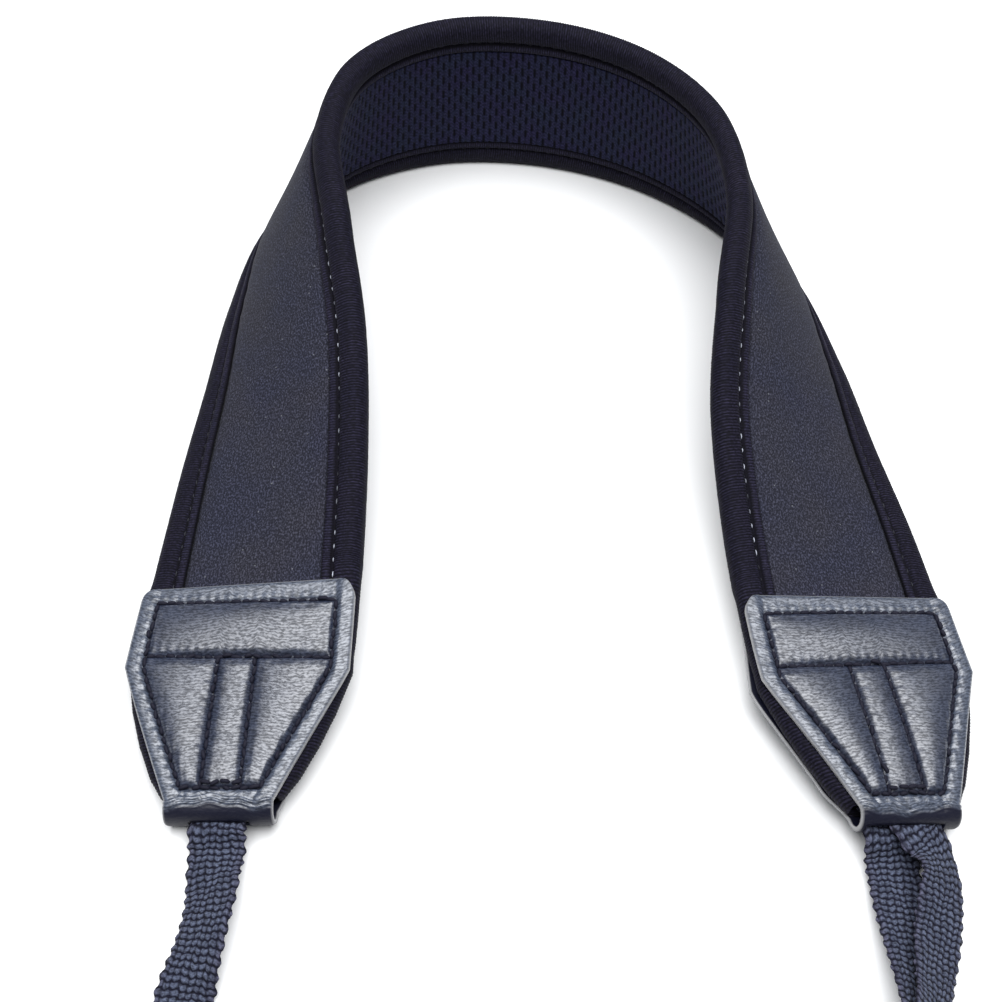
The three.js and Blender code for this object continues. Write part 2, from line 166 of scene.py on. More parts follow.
def curve_through(rows, count, even=True):
    """Points on a smooth curve through the rows, with even or length-weighted spacing of its knots."""
    rows = np.asarray(rows, float)
    knots = np.vstack([2 * rows[0] - rows[1], rows, 2 * rows[-1] - rows[-2]])
    x = np.linspace(0, len(rows) - 1, count)
    i = np.minimum(x.astype(int), len(rows) - 2)
    f = (x - i)[:, None]
    p0, p1, p2, p3 = knots[i], knots[i + 1], knots[i + 2], knots[i + 3]
    if even:
        t1, t2 = (p2 - p0) / 2, (p3 - p1) / 2
    else:
        d0, d1, d2 = (np.maximum(np.linalg.norm(b - a, axis=1), 1e-9)[:, None] ** 0.5
                      for a, b in ((p0, p1), (p1, p2), (p2, p3)))
        t1 = ((p1 - p0) / d0 - (p2 - p0) / (d0 + d1) + (p2 - p1) / d1) * d1
        t2 = ((p2 - p1) / d1 - (p3 - p1) / (d1 + d2) + (p3 - p2) / d2) * d1
    return p1 + t1 * f + (3 * (p2 - p1) - 2 * t1 - t2) * f ** 2 + (2 * (p1 - p2) + t1 + t2) * f ** 3


route = curve_through(route_rows * (leg_spread / 2, bend_reach, 1), 40 * (len(route_rows) - 1) + 1)
route_run = np.concatenate([[0], np.cumsum(np.hypot(*np.diff(route[:, :2], axis=0).T))])
route_run -= route_run[len(route_run) // 2]


def past_tab_edge(runs):
    """Distance past the top edge of the nearer tab, negative on the open band."""
    return np.where(runs < 0, -runs - left_length, runs - right_length)


def run_at(side, past):
    """Run of a place past the left tab's edge (side -1) or the right one's (side 1)."""
    return side * ((left_length if side < 0 else right_length) + past)


def half_width(past):
    """Half the strap's width, tapering over the tab's lower part."""
    share = np.clip((past - tab_shoulder) / (tab_length - tab_shoulder), 0, 1)
    return half_band + (tab_end_width / 2 - half_band) * share


def core_half(past):
    """Half the core's thickness, squeezed flatter inside a tab."""
    return core_thickness / 2 + (tab_core_half - core_thickness / 2) * smooth(1 + past / squeeze_run)


def middle_at(runs):
    """Middle line in space and its lean: the lower edge or the tab's back leaf rests on the table."""
    kept = np.clip(runs, route_run[0], route_run[-1])
    x, y, lean = (np.interp(kept, route_run, route[:, k]) for k in range(3))
    ends = np.array([route[1] - route[0], route[-1] - route[-2]])[:, :2]
    ends /= np.linalg.norm(ends, axis=1)[:, None]
    beyond = (runs - kept)[:, None] * np.where((runs < 0)[:, None], ends[0], ends[1])
    lean, past = np.radians(lean), past_tab_edge(runs)
    band_rest = edge_radius + (half_band - edge_radius) * np.sin(lean)
    tab_rest = leaf_outer * np.cos(lean) + half_width(past) * np.sin(lean)
    height = band_rest + (tab_rest - band_rest) * smooth(1 + past / squeeze_run)
    return np.stack([x + beyond[:, 0], y + beyond[:, 1], height], 1) + strap_shift, lean


def axes_for(point, along, lean):
    """Axes at points of a strap: across runs from its lower to its upper edge, out to its outer face."""
    level = np.cross(along, (0, 0, 1))
    level /= np.linalg.norm(level, axis=1)[:, None]
    rise = np.cross(level, along)
    across = level * np.cos(lean)[:, None] + rise * np.sin(lean)[:, None]
    return point, along, across, np.cross(across, along)


def strap_axes(runs):
    """Axes at runs along the band's middle line."""
    along = middle_at(runs + edge_radius)[0] - middle_at(runs - edge_radius)[0]
    along /= np.linalg.norm(along, axis=1)[:, None]
    point, lean = middle_at(runs)
    return axes_for(point, along, lean)


def place(axes, across, out, along=0):
    """Points of a grid: one row for each station of the axes, one column for each place in its ring."""
    point, forth, side, up = (a[:, None, :] for a in axes)
    shape = len(point), np.shape(across)[-1]
    across, out, along = (np.broadcast_to(a, shape)[..., None] for a in (across, out, along))
    return point + side * across + up * out + forth * along


def grid_faces(rows, columns, closed=False):
    """Faces between the points of a grid, whose columns may close into a ring."""
    i, j = np.meshgrid(np.arange(rows - 1), np.arange(columns - (not closed)), indexing="ij")
    a, b = i * columns + j, i * columns + (j + 1) % columns
    return np.stack([a, b, b + columns, a + columns], -1).reshape(-1, 4)


def closed_loft(points):
    """Faces of a closed body lofted through a grid of rings."""
    rows, columns = points.shape[:2]
    last = (rows - 1) * columns
    caps = [list(range(columns))[::-1], list(range(last, last + columns))]
    return grid_faces(rows, columns, True).tolist() + caps


def make_piece(name, points, faces, spots, finish, marks=None):
    """A mesh piece on the strap. Its map holds run and width in millimetres, and marks are named shares."""
    mesh = bpy.data.meshes.new(name)
    mesh.from_pydata(points.reshape(-1, 3), [], faces)
    shaper = bmesh.new()
    shaper.from_mesh(mesh)
    bmesh.ops.recalc_face_normals(shaper, faces=shaper.faces)
    shaper.to_mesh(mesh)
    shaper.free()
    mesh.polygons.foreach_set("use_smooth", np.ones(len(mesh.polygons), bool))
    corners = np.empty(len(mesh.loops), np.int32)
    mesh.loops.foreach_get("vertex_index", corners)
    layer = mesh.uv_layers.new(name="strap")
    layer.uv.foreach_set("vector", (spots.reshape(-1, 2)[corners] / mm).astype(np.float32).ravel())
    for label, values in (marks or {}).items():
        mesh.attributes.new(label, "FLOAT", "POINT").data.foreach_set("value", values.ravel().astype(np.float32))
    mesh.materials.append(finish)
    piece = bpy.data.objects.new(name, mesh)
    bpy.context.scene.collection.objects.link(piece)
    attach(piece, "root")
    return piece


def edge_arc(centre, radius, steps):
    """Round of an edge, from the outer face to the inner face."""
    angle = math.pi * (0.5 - np.arange(steps + 1) / steps)
    return centre + radius * np.cos(angle), radius * np.sin(angle)


def shade_group(name, inputs, outputs):
    """A shader node group with named sockets, and its inner ends."""
    tree = bpy.data.node_groups.new(name, "ShaderNodeTree")
    for label, (kind, value) in inputs.items():
        tree.interface.new_socket(label, in_out="INPUT", socket_type="NodeSocket" + kind).default_value = value
    for label, kind in outputs.items():
        tree.interface.new_socket(label, in_out="OUTPUT", socket_type="NodeSocket" + kind)
    return tree, tree.nodes.new("NodeGroupInput").outputs, tree.nodes.new("NodeGroupOutput").inputs


def reckon(tree, operation, *values):
    """One step of arithmetic in a shader."""
    return put(tree, "Math", dict(enumerate(values)), operation=operation).outputs[0]


def ramp(tree, value, low, high, to_low=0, to_high=1):
    """A value's range turned into another and clamped to it."""
    sockets = {"Value": value, "From Min": low, "From Max": high, "To Min": to_low, "To Max": to_high}
    return put(tree, "MapRange", sockets).outputs["Result"]


# Lint: sparse tiny pale specks, as dust and loose fibre show on dark cloth.
# A share of the cells carries one speck each; Cell and Size are in millimetres.
lint_group, enter, leave = shade_group(
    "cloth_lint",
    {"Spot": ("Vector", (0, 0, 0)), "Cell": ("Float", 6), "Size": ("Float", 0.3), "Share": ("Float", 0.2)},
    {"Mask": "Float"})
cells = put(lint_group, "TexVoronoi", {
    "Vector": enter["Spot"], "Scale": reckon(lint_group, "DIVIDE", 1, enter["Cell"]), "Randomness": 1})
from_middle = reckon(lint_group, "MULTIPLY", cells.outputs["Distance"], enter["Cell"])
near = reckon(lint_group, "LESS_THAN", from_middle, enter["Size"])
pick = put(lint_group, "SeparateColor", {0: cells.outputs["Color"]}).outputs[0]
picked = reckon(lint_group, "LESS_THAN", pick, enter["Share"])
lint_group.links.new(reckon(lint_group, "MULTIPLY", near, picked), leave["Mask"])

# Thread strokes: short irregular strokes of knitted or woven thread, longer one way than the other.
# Run Length goes along the strap and Width across it, both in millimetres.
stroke_group, enter, leave = shade_group(
    "thread_strokes",
    {"Spot": ("Vector", (0, 0, 0)), "Run Length": ("Float", 1), "Width": ("Float", 0.5), "Ragged": ("Float", 0.3)},
    {"Height": "Float"})
strokes_per_mm = put(stroke_group, "CombineXYZ", {
    0: reckon(stroke_group, "DIVIDE", 1, enter["Run Length"]),
    1: reckon(stroke_group, "DIVIDE", 1, enter["Width"])}).outputs[0]
stroke_spot = put(stroke_group, "VectorMath", {0: enter["Spot"], 1: strokes_per_mm}, operation="MULTIPLY")
strokes = put(stroke_group, "TexNoise", {
    "Vector": stroke_spot.outputs[0], "Scale": 1, "Detail": 1.5, "Roughness": 0.55, "Distortion": enter["Ragged"]})
stroke_group.links.new(ramp(stroke_group, strokes.outputs["Fac"], 0.3, 0.7), leave["Height"])

# Uneven dye: broad faint patches that shift a colour's depth and hue.
# Patch is their size in millimetres.
dye_group, enter, leave = shade_group(
    "uneven_dye",
    {"Spot": ("Vector", (0, 0, 0)), "Colour": ("Color", (0, 0, 0, 1)), "Shift": ("Color", (0, 0, 0, 1)),
     "Patch": ("Float", 20)},
    {"Colour": "Color"})
patches = put(dye_group, "TexNoise", {
    "Vector": enter["Spot"], "Scale": reckon(dye_group, "DIVIDE", 1, enter["Patch"]), "Detail": 3})
patch_share = ramp(dye_group, patches.outputs["Fac"], 0.35, 0.65)
dye_group.links.new(mixed(dye_group, patch_share, enter["Colour"], enter["Shift"]), leave["Colour"])


def use_group(tree, group, **sockets):
    """A shader node group placed in a material with its own values."""
    made = tree.nodes.new("ShaderNodeGroup")
    made.node_tree = group
    for key, value in sockets.items():
        socket = made.inputs[key.replace("_", " ")]
        if isinstance(value, bpy.types.NodeSocket):
            tree.links.new(value, socket)
        else:
            socket.default_value = value
    return made.outputs[0]


jersey, tree, shader = new_finish("charcoal_jersey", roughness=0.9, specular=0.08, sheen=0.03)
spot = put(tree, "UVMap", uv_map="strap").outputs["UV"]
knit = use_group(tree, stroke_group, Spot=spot, Run_Length=0.75, Width=0.5, Ragged=0.4)
cloth = use_group(
    tree, dye_group, Spot=spot, Colour=(0.0225, 0.0225, 0.032, 1), Shift=(0.0195, 0.0205, 0.0335, 1), Patch=22.0)
cloth = mixed(tree, 1.0, cloth, ramp(tree, knit, 0.4, 1, 0.62, 2.5), "MULTIPLY")
lint = use_group(tree, lint_group, Spot=spot, Cell=3.2, Size=0.23, Share=0.4)
tree.links.new(mixed(tree, lint, cloth, (0.12, 0.125, 0.14, 1)), shader["Base Color"])
bump = put(tree, "Bump", {"Strength": 0.3, "Distance": 0.1 * mm, "Height": knit})
tree.links.new(bump.outputs[0], shader["Normal"])

# Stations are even on the open band, and wider apart inside the tabs.
open_step = 2.5 * mm
tab_step = 6 * mm
stops = [run_at(-1, band_stop), run_at(-1, -squeeze_run), run_at(1, -squeeze_run), run_at(1, band_stop)]
spans = zip(stops, stops[1:], (tab_step, open_step, tab_step))
runs = np.concatenate([np.linspace(a, b, round((b - a) / step), endpoint=b == stops[-1]) for a, b, step in spans])
past = past_tab_edge(runs)
leg = np.where(runs < 0, left_length, right_length)
open_swell = core_swell * np.interp(np.abs(runs) / leg, *swell_rows.T)
swell = open_swell + (tape_thickness - open_swell) * smooth(1 + past / squeeze_run)
field = half_width(past) - binding_reach - clearance
half = core_half(past)
jersey_columns = 37
crown_columns = np.sin(np.linspace(-0.5, 0.5, jersey_columns) * math.pi)
crown = np.sqrt(1 - np.abs(crown_columns) ** 8) * (0.8 + 0.2 * (1 - crown_columns ** 2))
pucker_height, pucker_pitch = 0.12 * mm, 9 * mm
pucker = pucker_height * np.sin(2 * math.pi * runs / pucker_pitch)[:, None] * np.abs(crown_columns) ** 6
ripple_height, short_ripple, long_ripple = 0.2 * mm, 17 * mm, 29 * mm
two_ripples = np.sin(runs / short_ripple) + np.sin(runs / long_ripple + 1)
ripple = ripple_height * two_ripples[:, None] * (1 - crown_columns ** 2)
outer_across = field[:, None] * crown_columns
outer_out = half[:, None] + swell[:, None] * crown + pucker + ripple
edge_steps = 5
edge_middle = half_width(past) - half - clearance - tape_thickness
arc_across, arc_out = edge_arc(edge_middle[:, None], half[:, None], edge_steps)
back_columns = 7
inner_across = field[:, None] * np.linspace(1, -1, back_columns)
ring_across = np.hstack([outer_across, arc_across, inner_across, -arc_across[:, ::-1]])
ring_out = np.hstack([outer_out, arc_out, np.repeat(-half[:, None], back_columns, 1), arc_out[:, ::-1]])
pad_points = place(strap_axes(runs), ring_across, ring_out)
pad_spots = np.stack([np.broadcast_to(runs[:, None], ring_across.shape), ring_across], -1)
pad = make_piece("neoprene_pad_dressed", pad_points, closed_loft(pad_points), pad_spots, jersey)
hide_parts("neoprene_pad")

# Mesh lining: a navy warp-knitted mesh on the face that lies against the neck, sewn in under the binding.
# Its long holes stand in staggered columns across the band, drawn a little into the cloth around them.
lining_thickness = 1 * mm
lining_stop = squeeze_run
column_pitch = 2.45 * mm
hole_pitch = 6.5 * mm
hole_depth = 0.5 * mm
samples_per_column = 4
runs = np.arange(run_at(-1, lining_stop), run_at(1, lining_stop), column_pitch / samples_per_column)
past = past_tab_edge(runs)
field = half_width(past) - binding_reach - clearance
mesh_columns = 82
across = field[:, None] * np.linspace(1, -1, mesh_columns)
column = np.round(runs / column_pitch)[:, None]
beside = np.abs(runs[:, None] / column_pitch - column)
up_column = (across / hole_pitch + 0.5 * (column % 2)) % 1 - 0.5
# A hole takes up about half of its pitch each way, with soft sides.
hole = smooth(2.4 - np.abs(up_column) * 7) * smooth(1.3 - beside * 4)
loop_pitch = 1.6 * mm
loop_height = 0.14 * mm
ridge = smooth(beside * 3) * (0.5 + 0.5 * np.cos(2 * math.pi * (across / loop_pitch + 0.5 * (column % 2))))
seat = -core_half(past)[:, None] - clearance
face_out = seat - lining_thickness + hole_depth * hole + loop_height * ridge
back_across = field[:, None] * np.array([-1, 1])
ring_across = np.hstack([across, back_across])
ring_out = np.hstack([face_out, np.repeat(seat, 2, 1)])
lining_points = place(strap_axes(runs), ring_across, ring_out)
lining_spots = np.stack([np.broadcast_to(runs[:, None], ring_across.shape), ring_across], -1)
plain_back = np.zeros((len(runs), 2))
mesh_marks = {"hole": np.hstack([hole, plain_back]), "ridge": np.hstack([ridge, plain_back])}

mesh_knit, tree, shader = new_finish("navy_mesh_knit", roughness=0.9, specular=0.08, sheen=0.03)
spot = put(tree, "UVMap", uv_map="strap").outputs["UV"]
loops_seen = use_group(tree, stroke_group, Spot=spot, Run_Length=0.55, Width=0.9, Ragged=0.5)
cloth = use_group(
    tree, dye_group, Spot=spot, Colour=(0.0115, 0.0105, 0.032, 1), Shift=(0.010, 0.0125, 0.029, 1), Patch=12.0)
cloth = mixed(tree, 1.0, cloth, ramp(tree, loops_seen, 0, 1, 0.6, 1.5), "MULTIPLY")
# Painted light: the raised loops are painted lighter as a painted highlight, and the holes near black, partly the dark
# foam seen through them and partly painted shade in the pits.
ridge_highlight_seen = put(tree, "Attribute", attribute_name="ridge").outputs["Fac"]
cloth = mixed(tree, 1.0, cloth, ramp(tree, ridge_highlight_seen, 0, 1, 0.75, 1.7), "MULTIPLY")
holes_seen = put(tree, "Attribute", attribute_name="hole").outputs["Fac"]
cloth = mixed(tree, ramp(tree, holes_seen, 0.15, 0.6), cloth, (0.002, 0.002, 0.006, 1))
tree.links.new(cloth, shader["Base Color"])
bump = put(tree, "Bump", {"Strength": 0.5, "Distance": 0.15 * mm, "Height": loops_seen})
tree.links.new(bump.outputs[0], shader["Normal"])
lining = make_piece(
    "mesh_lining_dressed", lining_points, closed_loft(lining_points), lining_spots, mesh_knit, mesh_marks)
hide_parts("mesh_lining")

# Edge bindings: a ribbed stretch tape folded over each long edge and sewn through both faces.
# The seam draws a deep groove beside a raised lip, and the tape puffs up between the groove and the edge.
rib_pitch = 0.95 * mm
rib_height = 0.17 * mm
samples_per_rib = 3
# Profile of one leg of the tape: distance in from the edge, and height over the plain face, in millimetres.
tape_profile = np.array([
    (11.5, -1.0), (11.45, -0.35), (11.1, 0.05), (10.4, 0.2), (9.6, 0.18), (9.0, 0.0), (8.5, -0.55), (8.0, -1.0),
    (7.5, -0.5), (7.0, 0.05), (6.2, 0.3), (5.2, 0.3),
]) * mm
arc_steps = 8
back_steps = 3
fold_bulge = 0.18 * mm
# The bound end of the band stands out a little between the tapering leaves of each tab.
# Distance past the tab's top edge, and how far the tape stands out, in millimetres.
overhang_rows = np.array([(17, 0), (22, -0.2), (27, 0), (32, 0.7), (40, 1.9), (50, 2.6), (60, 2.4), (66, 1)]) * mm


def tape_ring(past, edge):
    """Ring of the tape at each station: outer leg, fold, inner leg, and back inside the fold."""
    rim = (half_width(past) + np.interp(past, *overhang_rows.T))[:, None]
    seat = core_half(past)[:, None] + clearance
    face = seat + tape_thickness
    leg_across, leg_out = rim - tape_profile[:, 0], face + tape_profile[:, 1]
    arc_across, arc_out = edge_arc(rim - face, face + fold_bulge, arc_steps)
    back_across, back_out = (a[:, ::-1] for a in edge_arc(rim - face, seat, back_steps))
    across = np.hstack([leg_across, arc_across, leg_across[:, ::-1], back_across])
    out = np.hstack([leg_out, arc_out, -leg_out[:, ::-1], back_out])
    return edge * across, out


tape_stop = 65.6 * mm
tape_ends = [run_at(side, tape_stop) for side in (-1, 1)]
rib_count = round((tape_ends[1] - tape_ends[0]) / rib_pitch)
runs = tape_ends[0] + np.arange(rib_count * samples_per_rib + 1) * rib_pitch / samples_per_rib
past = past_tab_edge(runs)
binding_axes = strap_axes(runs)
rib_wave = np.sin(2 * math.pi * np.arange(len(runs)) / samples_per_rib + 0.5)
rib_random = np.random.default_rng(7).uniform(0.6, 1.3, len(runs) // samples_per_rib + 1)
rib_wave *= np.repeat(rib_random, samples_per_rib)[:len(runs)]
leg_count = len(tape_profile)
visible = 2 * leg_count + arc_steps + 1
ring_columns = visible + back_steps + 1
rib_share = np.ones(ring_columns)
rib_share[visible:] = 0
rib_share[[0, visible - 1]] = 0.3
# Columns of the ring at the cut edge and the groove, painted dark as painted shade, and on the lip, painted paler as a
# painted highlight.
groove_columns = [0, 1, 6, 7, visible - 8, visible - 7, visible - 2, visible - 1]
lip_columns = [3, 4, visible - 5, visible - 4]
# The ribs run straight across the face and slant where the tape turns over the edge.
edge_slant = 1.4 * mm
slant = np.zeros(ring_columns)
slant_start, slant_columns = leg_count - 2, arc_steps + 5
slant[slant_start:visible] = edge_slant
slant[slant_start:slant_start + slant_columns] *= np.linspace(0, 1, slant_columns)

binding_cloth, tree, shader = new_finish("ribbed_binding", roughness=0.75, specular=0.1, sheen=0.02)
spot = put(tree, "UVMap", uv_map="strap").outputs["UV"]
# The rib mark paints light and shade into the tape: near black in rib valleys, the groove and at the cut edge (painted
# shade), paler on rib tops and the lip (painted highlight).
rib_light_and_shade_seen = put(tree, "Attribute", attribute_name="rib").outputs["Fac"]
threads = use_group(tree, stroke_group, Spot=spot, Run_Length=0.4, Width=1.0, Ragged=0.5)
cloth = use_group(
    tree, dye_group, Spot=spot, Colour=(0.018, 0.016, 0.033, 1), Shift=(0.0135, 0.013, 0.028, 1), Patch=15.0)
cloth = mixed(tree, ramp(tree, rib_light_and_shade_seen, -0.35, 1.1), (0.0018, 0.0014, 0.0045, 1), cloth)
cloth = mixed(tree, 1.0, cloth, ramp(tree, threads, 0.2, 1, 0.5, 1.9), "MULTIPLY")
lint = use_group(tree, lint_group, Spot=spot, Cell=5.0, Size=0.26, Share=0.16)
tree.links.new(mixed(tree, lint, cloth, (0.16, 0.16, 0.2, 1)), shader["Base Color"])
bump = put(tree, "Bump", {"Strength": 0.4, "Distance": 0.08 * mm, "Height": threads})
tree.links.new(bump.outputs[0], shader["Normal"])

for edge, edge_name in ((1, "upper"), (-1, "lower")):
    across, out = tape_ring(past, edge)
    plain = place(binding_axes, across, out, slant)
    normal = np.cross(np.roll(plain, -1, 1) - np.roll(plain, 1, 1), np.gradient(plain, axis=0))
    normal /= np.maximum(np.linalg.norm(normal, axis=2), 1e-12)[..., None]
    outward = np.sign((normal * (plain - plain.mean(1, keepdims=True))).sum(2).mean(0).sum())
    ribs = rib_wave[:, None] * rib_share
    ribbed = plain + normal * outward * (rib_height * ribs)[..., None]
    arc_run = np.concatenate([[0], np.cumsum(np.hypot(np.diff(across[0]), np.diff(out[0])))])
    spots = np.stack([runs[:, None] + slant, np.broadcast_to(arc_run, across.shape)], -1)
    # Painted light and shade for the tape's colour: its rib heights, with the groove and cut edge set dark and the lip
    # set paler.
    rib_light_and_shade = ribs.copy()
    rib_light_and_shade[:, groove_columns] = -1
    rib_light_and_shade[:, lip_columns] += 0.5
    binding = make_piece(
        f"edge_binding_{edge_name}_dressed", ribbed, closed_loft(ribbed), spots, binding_cloth,
        {"rib": rib_light_and_shade})
    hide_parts(f"edge_binding_{edge_name}")

# Binding seam: one thread sunk in the groove on both faces of each edge, seen as short dashes.
# The dashes show pale along the upper edge of the legs, and dark round the bend and on the lower edge.
seam_thread, tree, shader = new_finish("pale_seam_thread", roughness=0.6, specular=0.3)
place_on_strap = put(tree, "TexCoord").outputs["Object"]
# Noise picks which dashes are pale; the paleness fades out towards the bend and is faint on the lower edge.
dash_noise = put(tree, "TexNoise", {"Vector": place_on_strap, "Scale": 55, "Detail": 1})
along_leg = ramp(tree, put(tree, "SeparateXYZ", {0: place_on_strap}).outputs["Y"], 0.11, 0.04)
pale_edge = put(tree, "Attribute", attribute_name="pale").outputs["Fac"]
pale_dash_share = ramp(tree, dash_noise.outputs["Fac"], 0.33, 0.5)
paleness = reckon(tree, "MULTIPLY", pale_dash_share, reckon(tree, "MULTIPLY", along_leg, pale_edge))
tree.links.new(mixed(tree, paleness, (0.006, 0.006, 0.012, 1), (0.42, 0.44, 0.52, 1)), shader["Base Color"])
seam_inset = 8 * mm
dash_pitch = 5 * mm
dash_length = 2 * mm
dash_radius = 0.19 * mm
dash_dip = 0.25 * mm
groove_depth = 0.8 * mm
seam_stop = 3 * mm
lower_paleness = 0.04


def stitches(middles, forth, up, length, radius, dip, rings=5, sides=6):
    """Thread stitches that dip into the cloth at both ends: points, faces and spots."""
    share = np.linspace(-1, 1, rings)
    thick = radius * np.sqrt(1 - 0.9 * share ** 4)
    turn = 2 * math.pi * np.arange(sides) / sides
    side = np.cross(forth, up)
    ring = (forth[:, None, None] * (share * length[:, None] / 2)[:, :, None, None]
            + up[:, None, None] * (-dip * share[:, None] ** 2 + thick[:, None] * np.sin(turn))[None, :, :, None]
            + side[:, None, None] * (thick[:, None] * np.cos(turn))[None, :, :, None])
    points = middles[:, None, None] + ring
    each = rings * sides
    starts = np.arange(len(middles))[:, None, None] * each
    tube = grid_faces(rings, sides, True)
    ends = np.array([list(range(sides))[::-1], list(range(each - sides, each))])
    faces = (starts + tube).reshape(-1, 4).tolist() + (starts + ends).reshape(-1, sides).tolist()
    spots = np.stack(np.broadcast_arrays(share[:, None] * radius * 4, turn * radius), -1)
    return points, faces, np.broadcast_to(spots, (len(middles), rings, sides, 2))


dash_random = np.random.default_rng(11)
dash_runs = np.arange(run_at(-1, -seam_stop), run_at(1, -seam_stop), dash_pitch)
dash_runs = dash_runs + dash_random.uniform(-0.3, 0.3, len(dash_runs)) * mm
dash_past = past_tab_edge(dash_runs)
dash_axes = strap_axes(dash_runs)
for edge, edge_name in ((1, "upper"), (-1, "lower")):
    middles, ups = [], []
    for face_side in (1, -1):
        level = core_half(dash_past) + clearance + tape_thickness - groove_depth
        rim = half_width(dash_past) - seam_inset
        middles.append(place(dash_axes, (edge * rim)[:, None], (face_side * level)[:, None])[:, 0])
        ups.append(face_side * dash_axes[3])
    forth = np.vstack([dash_axes[1]] * 2)
    length = dash_length * dash_random.uniform(0.75, 1.15, len(forth))
    points, faces, spots = stitches(np.vstack(middles), forth, np.vstack(ups), length, dash_radius, dash_dip)
    pale = np.full(points.shape[:-1], 1 if edge > 0 else lower_paleness)
    make_piece(f"binding_seam_{edge_name}", points, faces, spots, seam_thread, {"pale": pale})

# Leather tabs: one piece of slate leather folded round each end of the band and sewn into quilted panels.
# A top bar and three panels swell between chunky dark stitches; the cut edges stay pale.
stitch_inset = 5.5 * mm
cross_seam = 23.6 * mm
end_seam = 64 * mm
double_seam = 1.2 * mm
middle_panel = 11 * mm
panel_puff = 2.3 * mm
corner_radius = 5 * mm
grain_step = 0.42 * mm


def leaf_columns(past, share):
    """Across places on a leaf for shares 0 to 3: middle, inner seam, edge stitches, edge."""
    cut = corner_radius - np.minimum(past, corner_radius)
    corner = corner_radius - np.sqrt(np.maximum(corner_radius ** 2 - cut ** 2, 0))
    inner, edge = 0 * past + middle_panel / 2, half_width(past)
    stops = np.stack([0 * past, inner, edge - stitch_inset, edge - corner])
    low = np.minimum(np.abs(share).astype(int), 2)
    a, b = stops[low], stops[low + 1]
    return (np.sign(share)[:, None] * (a + (b - a) * (np.abs(share) - low)[:, None])).T


def pillow(x, power):
    """Swell of padded leather between two seams at x -1 and 1, and none past them."""
    return np.clip(1 - x ** 2, 0, 1) ** power


def crease(distance, width):
    """A soft mark, 1 on its line and fading over its width."""
    return np.exp(-(distance / width) ** 2)


def grain_places(tree, spot, across, along):
    """Places on the leather counted in grains of this size in millimetres."""
    return put(tree, "VectorMath", {0: spot, 1: (1 / across, 1 / along, 1)}, operation="MULTIPLY").outputs[0]


panel_shares = np.concatenate([
    np.linspace(0, 1, 10, endpoint=False), np.linspace(1, 2, 38, endpoint=False), np.linspace(2, 3, 11)])
panel_shares = np.concatenate([-panel_shares[:0:-1], panel_shares])
front_past = np.concatenate([np.linspace(0, 1, 4, endpoint=False) * mm, np.arange(1 * mm, tab_length, grain_step)])
back_past = np.linspace(tab_length, 0, 34)[1:]
back_past[-1] = 0
quarter = math.pi / 2
fold_angle = np.concatenate([
    np.linspace(quarter, quarter / 2, 16, endpoint=False), np.linspace(quarter / 2, -quarter, 13)])
leaf_past = np.concatenate([front_past, np.full(len(fold_angle), tab_length), back_past])
leaf_angle = np.concatenate([np.full(len(front_past), quarter), fold_angle, np.full(len(back_past), -quarter)])
on_front = np.concatenate([
    np.ones(len(front_past)), smooth(fold_angle / quarter * 2 - 1), np.zeros(len(back_past))])[:, None]

leather, tree, shader = new_finish("slate_leather", roughness=0.5, specular=0.3)
shader["Coat IOR"].default_value = 2.05
shader["Coat Roughness"].default_value = 0.34
spot = put(tree, "UVMap", uv_map="strap").outputs["UV"]
# The grain: fine wrinkles across the tab, 0.95 mm apart, over pebbles and broken creases.
wrinkle_pitch = 0.95
wave_turns = math.pi / 10
wrinkle_wave = put(tree, "TexWave", {
    "Vector": spot, "Scale": wave_turns / wrinkle_pitch, "Distortion": 8, "Detail": 3, "Detail Scale": 1.6,
    "Detail Roughness": 0.65}, bands_direction="Y")
pebble_cells = put(tree, "TexVoronoi", {"Vector": grain_places(tree, spot, 1.0, 0.7), "Scale": 1}, feature="SMOOTH_F1")
pebble = ramp(tree, pebble_cells.outputs["Distance"], 0.1, 0.7, 1, 0)
creases = put(tree, "TexNoise", {
    "Vector": grain_places(tree, spot, 1.5, 0.8), "Scale": 1, "Detail": 3, "Roughness": 0.6, "Distortion": 0.8})
broken = ramp(tree, creases.outputs["Fac"], 0.3, 0.7)
lined = mixed(tree, 0.3, mixed(tree, 0.5, pebble, broken), wrinkle_wave.outputs["Fac"])
height = put(tree, "SeparateColor", {0: lined}).outputs[0]
hide = use_group(
    tree, dye_group, Spot=spot, Colour=(0.017, 0.022, 0.042, 1), Shift=(0.014, 0.021, 0.046, 1), Patch=9.0)
border_seen, fold_seen, seam_seen, cut_seen = (
    put(tree, "Attribute", attribute_name=label).outputs["Fac"] for label in ("border", "fold", "seam", "cut"))
hide = mixed(tree, reckon(tree, "MULTIPLY", border_seen, 0.6), hide, (0.06, 0.075, 0.11, 1))
# The grain's valleys are painted darker and its ridges lighter: painted shade and painted highlight.
hide = mixed(tree, 1.0, hide, ramp(tree, height, 0.25, 0.75, 0.5, 1.5), "MULTIPLY")
# The fold and the leaf's inner skin are painted near black: painted shade where the leather rolls under, away from the
# light.
hide = mixed(tree, reckon(tree, "MULTIPLY", fold_seen, 0.97), hide, (0.003, 0.0035, 0.014, 1))
# The sunk seam lines are painted dark: painted shade in their grooves.
hide = mixed(tree, reckon(tree, "MULTIPLY", seam_seen, 0.7), hide, (0.003, 0.003, 0.01, 1))
hide = mixed(tree, cut_seen, hide, (0.36, 0.36, 0.37, 1))
tree.links.new(hide, shader["Base Color"])
